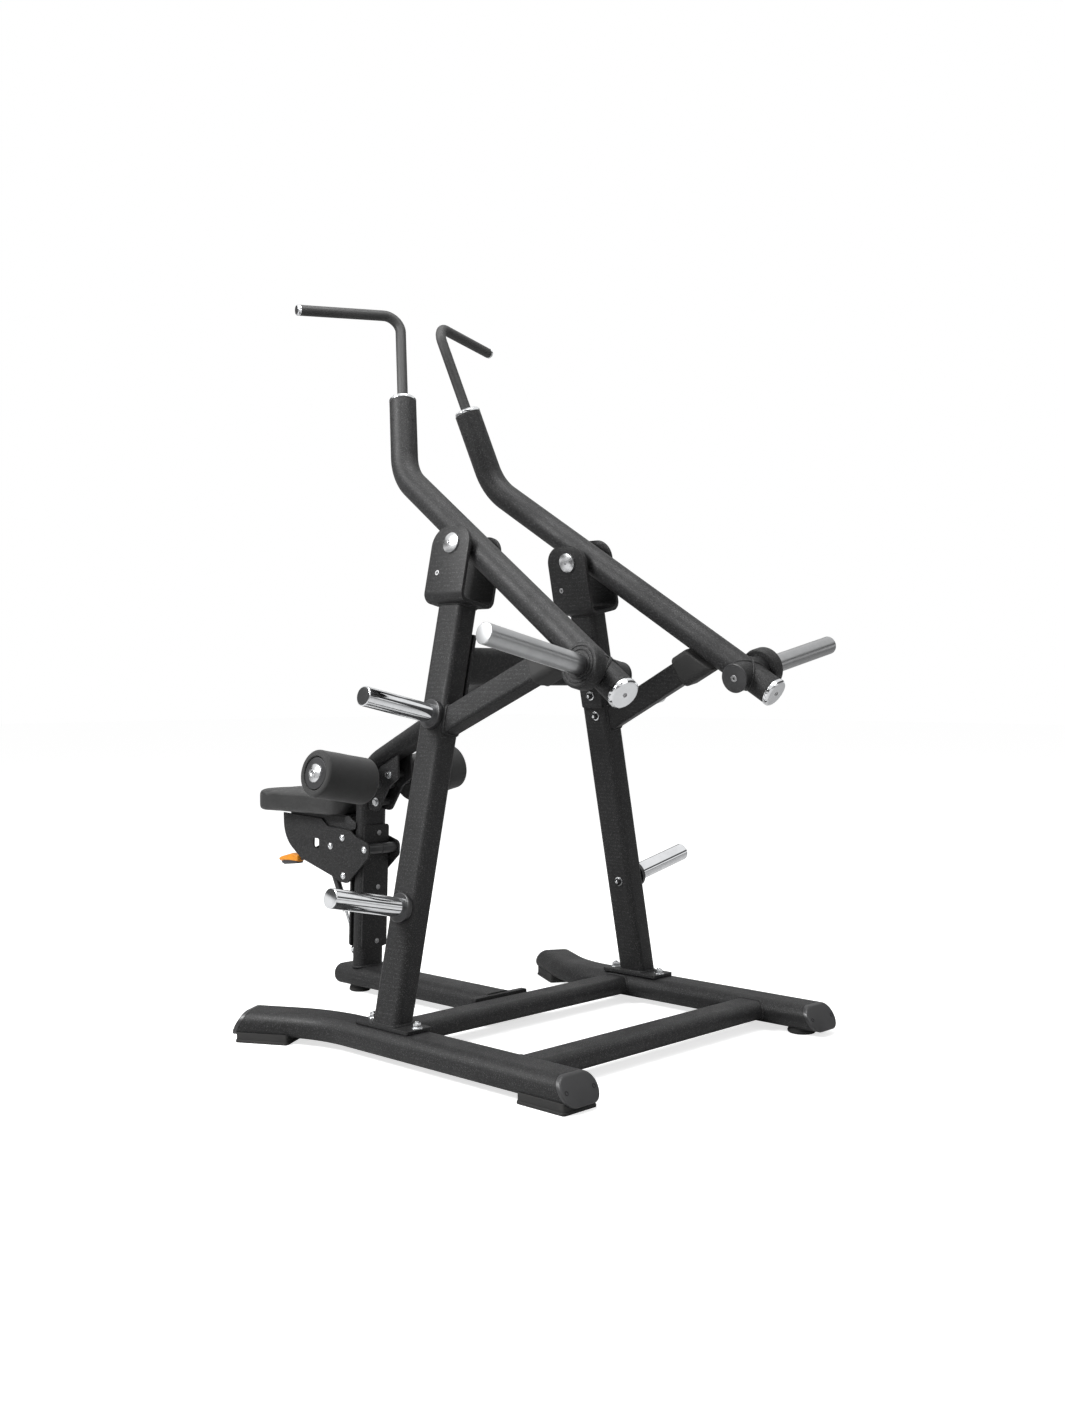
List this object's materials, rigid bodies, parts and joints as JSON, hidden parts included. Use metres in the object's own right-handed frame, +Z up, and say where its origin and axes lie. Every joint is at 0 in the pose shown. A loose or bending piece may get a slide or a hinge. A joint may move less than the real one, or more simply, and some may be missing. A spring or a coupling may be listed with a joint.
{
  "type": "lat pulldown machine",
  "caption": "Plate-loaded lat pulldown machine: leaning frame, swinging arms with weight horns and swivel handles, sliding seat and foam knee rollers.",
  "frame": {"origin": "centre of the bounding box's bottom face, on the floor", "axes": "+Z up, +X across the machine, +Y from the seat to the weight horns"},
  "size_m": [1.3676, 1.7536, 2.0147],
  "materials": {
    "powder_coat": "fine-textured charcoal powder coat",
    "black_plastic": "moulded, semi-matte",
    "rubber": "matte black rubber",
    "grip_coat": "matte black grip coating",
    "foam": "matte foam with a smooth skin",
    "vinyl": "black upholstery vinyl, semi-matte",
    "chrome": "polished chrome",
    "satin_steel": "satin plated steel",
    "orange_grip": "orange lever grip"
  },
  "bodies": {
    "frame": {"centre_base_tube": "powder_coat", "centre_foot": "rubber", "front_guide_plate": "powder_coat", "knee_bracket": "powder_coat", "knee_shaft": "satin_steel", "left_base_rail": "powder_coat", "left_clevis": "powder_coat", "left_front_end_cap": "black_plastic", "left_front_pad": "rubber", "left_lower_storage_horn": "chrome", "left_pivot_shaft": "chrome", "left_post": "powder_coat", "left_rear_end_cap": "black_plastic", "left_rear_foot": "rubber", "left_roller_cap": "chrome", "left_stop_arm": "powder_coat", "left_stop_sleeve": "rubber", "left_upper_storage_horn": "chrome", "mid_cross_tube": "powder_coat", "rear_cross_tube": "powder_coat", "rear_guide_plate": "powder_coat", "right_base_rail": "powder_coat", "right_clevis": "powder_coat", "right_front_end_cap": "black_plastic", "right_front_pad": "rubber", "right_lower_storage_horn": "chrome", "right_pivot_shaft": "chrome", "right_post": "powder_coat", "right_rear_end_cap": "black_plastic", "right_rear_pad": "rubber", "right_roller_cap": "chrome", "right_stop_arm": "powder_coat", "right_stop_sleeve": "rubber", "right_upper_storage_horn": "chrome", "seat_post": "powder_coat", "upper_cross_member": "powder_coat"},
    "right_arm_body": {"right_arm": "powder_coat", "right_weight_horn": "satin_steel", "right_plate_stop": "black_plastic", "right_arm_end_cap": "chrome", "right_arm_collar": "chrome"},
    "left_arm_body": {"left_arm": "powder_coat", "left_weight_horn": "satin_steel", "left_plate_stop": "black_plastic", "left_arm_end_cap": "chrome", "left_arm_collar": "chrome"},
    "right_handle_body": {"right_handle": "grip_coat"},
    "left_handle_body": {"left_handle": "grip_coat"},
    "right_knee_roller": {"right_knee_foam": "foam"},
    "left_knee_roller": {"left_knee_foam": "foam"},
    "seat": {"seat_carriage": "powder_coat", "seat_frame": "powder_coat", "seat_cushion": "vinyl"},
    "rear_roller_body": {"rear_carriage_roller": "black_plastic"},
    "front_roller_body": {"front_carriage_roller": "black_plastic"},
    "lever": {"seat_lever": "powder_coat", "lever_grip": "orange_grip"},
    "latch": {"latch_pin": "satin_steel"},
    "strut_lower": {"strut_rod": "chrome"},
    "strut_upper": {"strut_tube": "black_plastic"}
  },
  "joints": [
    {"name": "right_arm_swing", "type": "hinge", "parent": "frame", "child": "right_arm_body", "pos_m": [0.22186, 0.22822, 1.29135], "axis": [0.9781, 0, 0.2079], "range_deg": [0, 55]},
    {"name": "right_handle_swivel", "type": "hinge", "parent": "right_arm_body", "child": "right_handle_body", "pos_m": [0.1272, -0.13903, 1.73669], "axis": [-0.2003, -0.2689, 0.9421], "range_deg": [-45, 45]},
    {"name": "right_knee_roller_spin", "type": "hinge", "parent": "frame", "child": "right_knee_roller", "pos_m": [0, -0.35978, 0.634], "axis": [0.9842, 0, 0.1771], "continuous": true},
    {"name": "left_arm_swing", "type": "hinge", "parent": "frame", "child": "left_arm_body", "pos_m": [-0.22186, 0.22822, 1.29135], "axis": [0.9781, 0, -0.2079], "range_deg": [0, 55]},
    {"name": "left_handle_swivel", "type": "hinge", "parent": "left_arm_body", "child": "left_handle_body", "pos_m": [-0.1272, -0.13903, 1.73669], "axis": [0.2003, -0.2689, 0.9421], "range_deg": [-45, 45]},
    {"name": "left_knee_roller_spin", "type": "hinge", "parent": "frame", "child": "left_knee_roller", "pos_m": [0, -0.35978, 0.634], "axis": [0.9842, 0, -0.1771], "continuous": true},
    {"name": "seat_slide", "type": "slide", "parent": "frame", "child": "seat", "axis": [0, 0.0349, 0.9994], "range_m": [-0.1, 0]},
    {"name": "rear_roller_spin", "type": "hinge", "parent": "seat", "child": "rear_roller_body", "pos_m": [0, -0.39061, 0.44252], "axis": [1, 0, 0], "range_deg": [-360, 0]},
    {"name": "front_roller_spin", "type": "hinge", "parent": "seat", "child": "front_roller_body", "pos_m": [0, -0.4899, 0.35593], "axis": [1, 0, 0], "range_deg": [0, 360]},
    {"name": "seat_lever_lift", "type": "hinge", "parent": "seat", "child": "lever", "pos_m": [0.026, -0.55173, 0.44204], "axis": [-1, 0, 0], "range_deg": [0, 12]},
    {"name": "latch_slide", "type": "slide", "parent": "seat", "child": "latch", "axis": [0, -0.9994, 0.0349], "range_m": [0, 0.0122]},
    {"name": "strut_lean", "type": "hinge", "parent": "frame", "child": "strut_lower", "pos_m": [0, -0.49676, 0.12503], "axis": [1, 0, 0], "range_deg": [0, 12]},
    {"name": "strut_extend", "type": "slide", "parent": "strut_lower", "child": "strut_upper", "axis": [0, -0.4497, 0.8932], "range_m": [-0.084, 0]}
  ],
  "couplings": [
    {"joint": "rear_roller_spin", "follows": "seat_slide", "rad_per_m": 62.5},
    {"joint": "front_roller_spin", "follows": "seat_slide", "rad_per_m": -62.5},
    {"joint": "latch_slide", "follows": "seat_lever_lift", "m_per_rad": 0.0573},
    {"joint": "strut_lean", "follows": "seat_slide", "rad_per_m": -2},
    {"joint": "strut_extend", "follows": "seat_slide", "ratio": 0.83}
  ]
}
